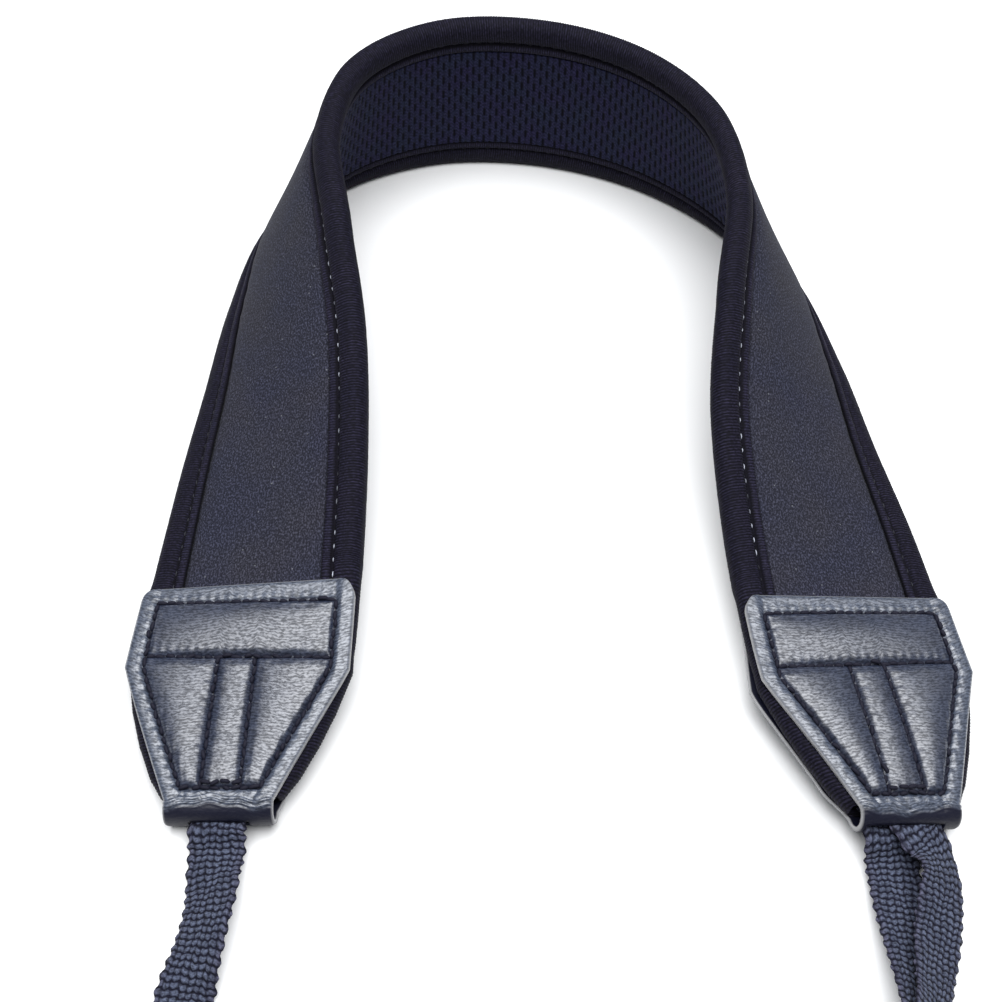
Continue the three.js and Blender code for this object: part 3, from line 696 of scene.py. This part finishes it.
# The gloss sits on the ridges of the grain, and leaves the valleys, the seams and the cut edges dull.
dull_fold = reckon(tree, "MULTIPLY", fold_seen, 0.93)
dull = reckon(tree, "MAXIMUM", dull_fold, reckon(tree, "MAXIMUM", seam_seen, cut_seen))
gloss = reckon(tree, "MULTIPLY", ramp(tree, height, 0.3, 0.7, 0.25, 1), reckon(tree, "SUBTRACT", 1, dull))
tree.links.new(gloss, shader["Coat Weight"])
bump_strength = ramp(tree, fold_seen, 0, 1, 1, 0.4)
bump = put(tree, "Bump", {"Strength": bump_strength, "Distance": 0.14 * mm, "Height": height})
tree.links.new(bump.outputs[0], shader["Normal"])

stitch_thread, tree, shader = new_finish("black_stitch_thread", roughness=0.7, specular=0.15)
twist = put(tree, "TexNoise", {"Scale": 1500, "Detail": 2})
thread_tone = mixed(tree, twist.outputs["Fac"], (0.002, 0.002, 0.006, 1), (0.02, 0.02, 0.035, 1))
tree.links.new(thread_tone, shader["Base Color"])
stitch_pitch = 2.9 * mm
stitch_length = 3.1 * mm
stitch_radius = 0.62 * mm
stitch_level = 0.45 * mm
stitch_dip = 0.35 * mm
stitch_scatter = 0.2 * mm
seam_depth = 0.7 * mm
border_height = 0.55 * mm
pucker_height = 0.14 * mm


def seam_line(past, across, width):
    """Share of a seam at a place on the front leaf, from 1 on its line to 0 beside it."""
    sewn, inner = half_width(past) - stitch_inset, middle_panel / 2
    return np.maximum.reduce([
        crease(past - stitch_inset, width) * (np.abs(across) < sewn + width),
        crease(np.abs(across) - sewn, width) * (past > stitch_inset - width) * (past < end_seam + width),
        crease(past - cross_seam, width) * (np.abs(across) < sewn),
        crease(np.abs(across) - inner, width) * (past > cross_seam) * (past < end_seam),
        crease(past - end_seam, width) * (np.abs(across) < sewn + width),
    ])


def leaf_height(past, across):
    """Height of the front leaf over its flat level: puffed panels, sunk seams and a rolled border."""
    edge = half_width(past)
    sewn = edge - stitch_inset
    inner = middle_panel / 2
    bar = pillow((past - (stitch_inset + cross_seam) / 2) / ((cross_seam - stitch_inset) / 2), 0.58)
    bar = bar * pillow(across / sewn, 0.4)
    down = pillow((past - (cross_seam + end_seam) / 2) / ((end_seam - cross_seam) / 2), 0.4)
    side_panel = pillow((np.abs(across) - (inner + sewn) / 2) / np.maximum((sewn - inner) / 2, 1 * mm), 0.5)
    middle = pillow(across / inner, 0.52) * 0.8
    in_bar = (past > stitch_inset) & (past < cross_seam)
    in_panels = (past >= cross_seam) & (past < end_seam)
    puff = panel_puff * (in_bar * bar + in_panels * down * np.where(np.abs(across) < inner, middle, side_panel))
    border = border_height * pillow((np.abs(across) - (sewn + edge) / 2) / (stitch_inset / 2), 0.7)
    near_seam = seam_line(past, across, 2.2 * mm) - seam_line(past, across, 0.9 * mm)
    pucker = pucker_height * near_seam * (
        np.sin(2 * math.pi * past / stitch_pitch) + np.sin(2 * math.pi * across / stitch_pitch + 1)
        + np.sin(past / (1.1 * mm) + across / (1.9 * mm)))
    return puff + border * (np.abs(across) > sewn) + pucker - seam_depth * seam_line(past, across, 0.8 * mm)


def tab_shell(outer, inner, hole):
    """Faces of a leaf with thickness: both skins, and a rim along every free edge."""
    rows, columns = outer.shape[:2]
    under = rows * columns
    kept = ~hole
    quads = grid_faces(rows, columns).reshape(rows - 1, columns - 1, 4)
    faces = [quads[kept], under + quads[kept][:, ::-1]]
    framed = np.pad(kept, 1)
    for i, j, a, b in ((-1, 0, 0, 1), (1, 0, 2, 3), (0, -1, 3, 0), (0, 1, 1, 2)):
        free = kept & ~framed[1 + i:rows + i, 1 + j:columns + j]
        rim = quads[free]
        faces.append(np.stack([rim[:, b], rim[:, a], under + rim[:, a], under + rim[:, b]], 1))
    return np.vstack(faces)


def tab_seams():
    """Seam lines on the front leaf as corner points of (past, across)."""
    bottom = half_width(np.array([end_seam]))[0] - stitch_inset
    top = half_band - stitch_inset
    inner = middle_panel / 2
    edges = [[(stitch_inset, -top), (stitch_inset, top)], [(cross_seam, -top), (cross_seam, top)]]
    for way in (-1, 1):
        edges.append([(stitch_inset, way * top), (tab_shoulder, way * top), (end_seam, way * bottom)])
        edges.append([(cross_seam, way * inner), (end_seam, way * inner)])
    edges.append([(end_seam, -bottom), (end_seam, bottom)])
    edges.append([(end_seam - double_seam, -inner), (end_seam - double_seam, inner)])
    return edges


# The back leaf is cut a little narrower, but on the right tab its inner edge stands out past the bound edge.
back_trim = 0.045
back_stand_out = 2.9 * mm
fold_start = 67.9 * mm
crease_height = 0.3 * mm
crease_pitch = 1.35 * mm
rim_round = 0.8 * mm
rim_drop = 0.25 * mm
# The slit lets one webbing run out of the left fold and two out of the right: rows either way, ends in millimetres.
for side, side_name, slit_rows, slit_ends in ((-1, "left", 1, (-8.3, 8.3)), (1, "right", 2, (-9.9, 13.4))):
    axes = strap_axes(run_at(side, leaf_past))
    trim = 1 - back_trim * smooth((tab_length - leaf_past) / (12 * mm)) * (leaf_angle < 0)
    across = leaf_columns(leaf_past, panel_shares) * trim[:, None]
    if side > 0:
        to_fold = smooth((leaf_past - 4 * mm) / (30 * mm)) * smooth((tab_length - leaf_past) / (9 * mm))
        stand_out = back_stand_out * to_fold * (leaf_angle < 0)
        across += stand_out[:, None] * np.clip(panel_shares - 1, 0, 1)
    past_grid = np.broadcast_to(leaf_past[:, None], across.shape)
    rise = leaf_height(past_grid, across) * on_front
    # Wavy creases cross the leaf where it starts to roll over.
    rolled = past_grid + leaf_outer * (quarter - leaf_angle)[:, None]
    wave = fold_start + 0.9 * mm * np.sin(across / (4.3 * mm) + side) + 0.35 * mm * np.sin(across / (1.3 * mm))
    ripple = np.cos(2 * math.pi * (rolled - wave) / crease_pitch) * crease(rolled - wave - 0.3 * mm, 2 * mm)
    rise = rise - on_front * crease_height * ripple
    edge_round = smooth((half_width(past_grid) - np.abs(across)) / rim_round) * smooth(past_grid / rim_round)
    angle = leaf_angle[:, None]
    outer_reach = leaf_outer + rise - rim_drop * (1 - edge_round)
    outer = place(axes, across, outer_reach * np.sin(angle), side * outer_reach * np.cos(angle))
    inner = place(axes, across, leaf_inner * np.sin(angle), side * leaf_inner * np.cos(angle))
    slit = np.zeros((len(leaf_past) - 1, len(panel_shares) - 1), bool)
    mid_row = len(front_past) + int(np.argmin(np.abs(fold_angle)))
    cell_across = (across[mid_row, :-1] + across[mid_row, 1:]) / 2 / mm
    in_slit = (cell_across > slit_ends[0]) & (cell_across < slit_ends[1])
    slit[mid_row - slit_rows:mid_row + slit_rows + 1, in_slit] = True
    # The grain bows a little round the middle of each puffed panel.
    from_side_panel = np.abs(across) - 17 * mm
    bow = 0.012 / mm * np.where(np.abs(across) < middle_panel / 2, across ** 2 * 3, from_side_panel ** 2)
    length_spot = past_grid + bow - leaf_outer * angle
    spots = np.stack([across, length_spot], -1)
    at_side = np.abs(across) > half_width(past_grid) - stitch_inset
    sewn_off = at_side | (past_grid < stitch_inset) | (past_grid > end_seam)
    # The fold mark carries painted shade for the rolling fold, and is set on the whole inner skin too.
    fold = smooth((rolled - wave - 0.8 * mm) / (1.6 * mm)) * (angle > -quarter)
    border = sewn_off * on_front * (1 - fold)
    rim_mark = np.zeros(across.shape)
    rim_mark[:, [0, -1]] = 1
    rim_mark[[0, -1]] = 1
    # The seam mark carries painted shade for the sunk seam lines.
    marks = {
        "border": np.concatenate([border, 0 * border]),
        "fold": np.concatenate([fold, 1 + 0 * fold]),
        "seam": np.concatenate([seam_line(past_grid, across, 0.5 * mm) * on_front, 0 * fold]),
        "cut": np.concatenate([rim_mark * 0.6, rim_mark]),
    }
    tab = make_piece(
        f"leather_tab_{side_name}_dressed", np.concatenate([outer, inner]), tab_shell(outer, inner, slit),
        np.concatenate([spots, spots]), leather, marks)
    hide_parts(f"leather_tab_{side_name}")

    stitch_random = np.random.default_rng(23 + side)
    places, headings = [], []
    for line in tab_seams():
        for (p0, a0), (p1, a1) in zip(line, line[1:]):
            span = math.hypot(p1 - p0, a1 - a0)
            count = max(2, round(span / stitch_pitch))
            share = (np.arange(count) + 0.5) / count
            places.append(np.stack([p0 + (p1 - p0) * share, a0 + (a1 - a0) * share], 1))
            headings.append(np.tile([(p1 - p0) / span, (a1 - a0) / span], (count, 1)))
    places, headings = np.vstack(places), np.vstack(headings)
    places = places + stitch_random.normal(0, stitch_scatter, places.shape)
    turn = stitch_random.normal(0, 0.2, len(headings))
    headings = headings + turn[:, None] * np.stack([-headings[:, 1], headings[:, 0]], 1)
    at = strap_axes(run_at(side, places[:, 0]))
    level = leaf_outer + leaf_height(places[:, 0], places[:, 1]) + stitch_level
    middles = at[0] + at[2] * places[:, 1:] + at[3] * level[:, None]
    forth = side * at[1] * headings[:, :1] + at[2] * headings[:, 1:]
    forth /= np.linalg.norm(forth, axis=1)[:, None]
    length = stitch_length * stitch_random.uniform(0.75, 1.15, len(forth))
    points, faces, thread_spots = stitches(
        middles, forth, at[3], length, stitch_radius, stitch_dip, rings=7, sides=8)
    make_piece(f"tab_stitches_{side_name}", points, faces, thread_spots, stitch_thread)

# Webbing: a coarse woven strap that comes out of a slit in each fold and lies down on the table.
# Its rows of thick weft bulge like beads between the warp threads, and turn back at both sides in small loops.
webbing_width = 15.6 * mm
webbing_thickness = 1.8 * mm
webbing_shown = 56 * mm
webbing_tuck = 5 * mm
run_gap = 0.5 * mm
layer_step = webbing_thickness + run_gap
weft_pitch = 1.85 * mm
warp_pitch = 1.95 * mm
weave_step = 0.26 * mm
weave_columns = 66
bead_height = 0.5 * mm
side_loop = 0.4 * mm
turn_steps = 14
# Each run: share of the length that shows, shift aside in widths, own lean in degrees, and hold by the fold.
tuck = -webbing_tuck / webbing_shown
left_rows = [
    (tuck, 0, 0, 1), (0.05, 0, 0, 1), (0.12, -0.03, 1, 0.95), (0.2, -0.01, 6, 0.3), (0.32, -0.01, 16, 0),
    (0.43, 0.01, 23, 0), (0.55, -0.02, 27, 0), (0.68, -0.08, 24, 0), (0.78, -0.15, 16, 0), (0.86, -0.2, 4, 0),
    (0.9, -0.22, 0, 0), (0.95, -0.24, 0, 0), (1, -0.265, 0, 0),
]
right_lower_rows = [
    (tuck, 0.33, 0, 1), (0.05, 0.33, 0, 1), (0.12, 0.36, 1, 0.95), (0.2, 0.37, 4, 0.3), (0.3, 0.4, 8, 0),
    (0.43, 0.47, 12, 0), (0.6, 0.55, 20, 0), (0.8, 0.66, 33, 0), (1, 0.79, 45, 0),
]
right_upper_rows = [
    (tuck, -0.1, 0, 1), (0.05, -0.1, 0, 1), (0.11, -0.16, 6, 0.97), (0.17, -0.28, 24, 0.6), (0.24, -0.36, 36, 0.15),
    (0.33, -0.36, 35, 0), (0.45, -0.21, 29, 0), (0.6, 0.01, 26, 0), (0.76, 0.26, 34, 0), (0.9, 0.46, 42, 0),
]


def webbing_knots(side, rows, layer):
    """Points and leans of one webbing run, held by the fold first and lying on the table further out."""
    fold_run = np.array([run_at(side, tab_length)])
    fold_lean = middle_at(fold_run)[1][0]
    point, along, across, up = (a[0] for a in strap_axes(fold_run))
    forward = side * along * (1, 1, 0)
    forward /= np.linalg.norm(forward)
    aside = side * np.cross(forward, (0, 0, 1))
    points, leans = [], []
    for share, shift, lean, hold in rows:
        reach, shift, lean = share * webbing_shown, shift * webbing_width, math.radians(lean)
        rest = webbing_thickness / 2 * math.cos(lean) + webbing_width / 2 * math.sin(lean)
        lying = point + forward * reach + aside * shift
        lying[2] = rest + strap_shift[2]
        held = point + across * shift + up * layer + along * side * reach
        points.append(lying + (held - lying) * hold)
        leans.append(lean + (fold_lean - lean) * hold)
    return np.array(points), np.array(leans)


def webbing_line(side, points, leans):
    """Axes at fine even stations along a webbing run."""
    count = 60 * (len(points) - 1) + 1
    line = curve_through(points, count, even=False)
    lean = curve_through(leans[:, None], count)[:, 0]
    reach = np.concatenate([[0], np.cumsum(np.linalg.norm(np.diff(line, axis=0), axis=1))])
    stations = np.linspace(0, reach[-1], round(reach[-1] / weave_step))
    line = np.stack([np.interp(stations, reach, line[:, k]) for k in range(3)], 1)
    lean = np.interp(stations, reach, lean)
    along = np.gradient(line, axis=0) * side
    along /= np.linalg.norm(along, axis=1)[:, None]
    return axes_for(line, along, lean)


def woven_strip(axes):
    """Grid of rings of a webbing run, its map spots, and a mark for the gaps between threads, which get painted shade.
    """
    stations = np.concatenate([[0], np.cumsum(np.linalg.norm(np.diff(axes[0], axis=0), axis=1))])[:, None]
    share = np.linspace(-1, 1, weave_columns)
    half = webbing_width / 2
    row = stations / weft_pitch + 0.12 * np.sin(share * 9 + stations / (5 * mm)) + 0.1 * np.sin(share * 23 + 2)
    drift = 0.2 * np.sin(stations / (2.3 * mm) + share * 5) + 0.12 * (np.floor(row) % 2)
    thread = share * half / warp_pitch + drift
    down_cell, side_cell = (np.cos(math.pi * (x % 1 - 0.5)) for x in (row, thread))
    gap = 1 - down_cell ** 0.7 * (0.32 + 0.68 * side_cell ** 0.7)
    body = webbing_thickness / 2 * (1 - np.abs(share) ** 10 * 0.7)
    selvedge = np.abs(share) ** 6
    loops = selvedge * side_loop * np.cos(math.pi * (row + 0.5 * np.sign(share)))
    across = share * half + np.sign(share) * loops
    top = body - bead_height * gap
    ring_across = np.hstack([across, across[:, ::-1]])
    ring_out = np.hstack([top, -top[:, ::-1]])
    gaps = np.hstack([gap, gap[:, ::-1]])
    sides = np.hstack([np.broadcast_to(selvedge, gap.shape)] * 2)
    spots = np.stack([np.broadcast_to(stations, ring_across.shape), ring_across], -1)
    return place(axes, ring_across, ring_out), spots, {"gap": gaps, "selvedge": sides}


weave, tree, shader = new_finish("coarse_webbing", roughness=0.8, specular=0.16, sheen=0.05)
spot = put(tree, "UVMap", uv_map="strap").outputs["UV"]
filaments = use_group(tree, stroke_group, Spot=spot, Run_Length=0.5, Width=0.7, Ragged=0.8)
cloth = use_group(
    tree, dye_group, Spot=spot, Colour=(0.07, 0.082, 0.125, 1), Shift=(0.055, 0.065, 0.102, 1), Patch=8.0)
side_seen = put(tree, "Attribute", attribute_name="selvedge").outputs["Fac"]
cloth = mixed(tree, reckon(tree, "MULTIPLY", side_seen, 0.6), cloth, (0.055, 0.045, 0.075, 1))
# The gaps between the beads are painted near black: painted shade in the recesses.
gap_shade_seen = put(tree, "Attribute", attribute_name="gap").outputs["Fac"]
cloth = mixed(tree, ramp(tree, gap_shade_seen, 0.2, 0.68), cloth, (0.003, 0.003, 0.01, 1))
cloth = mixed(tree, 1.0, cloth, ramp(tree, filaments, 0, 1, 0.4, 1.7), "MULTIPLY")
tree.links.new(cloth, shader["Base Color"])
bump = put(tree, "Bump", {"Strength": 0.6, "Distance": 0.12 * mm, "Height": filaments})
tree.links.new(bump.outputs[0], shader["Normal"])

left_axes = webbing_line(-1, *webbing_knots(-1, left_rows, 0))
points, spots, marks = woven_strip(left_axes)
webbing_left = make_piece("webbing_left_dressed", points, closed_loft(points), spots, weave, marks)
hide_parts("webbing_left")

# The right webbing's lower and upper runs are one strap, joined by a small turn past the photo's edge.
lower_axes = webbing_line(1, *webbing_knots(1, right_lower_rows, -layer_step / 2))
lower_end = [a[-1] for a in lower_axes]
upper_points, upper_leans = webbing_knots(1, right_upper_rows, layer_step / 2)
upper_points = np.vstack([upper_points, lower_end[0] + lower_end[3] * layer_step])
upper_leans = np.append(upper_leans, math.radians(right_lower_rows[-1][2]))
upper_axes = webbing_line(1, upper_points, upper_leans)
turn = math.pi * np.arange(1, turn_steps)[:, None] / turn_steps
turn_along = lower_end[1] * np.cos(turn) + lower_end[3] * np.sin(turn)
turn_across = np.broadcast_to(lower_end[2], turn_along.shape)
turn_radius = layer_step / 2
turn_point = lower_end[0] + lower_end[1] * np.sin(turn) * turn_radius + lower_end[3] * (1 - np.cos(turn)) * turn_radius
turn_axes = (turn_point, turn_along, turn_across, np.cross(turn_across, turn_along))
back_axes = tuple(a[::-1] * sign for a, sign in zip(upper_axes, (1, -1, 1, -1)))
right_axes = tuple(np.vstack(three) for three in zip(lower_axes, turn_axes, back_axes))
points, spots, marks = woven_strip(right_axes)
webbing_right = make_piece("webbing_right_dressed", points, closed_loft(points), spots, weave, marks)
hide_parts("webbing_right")
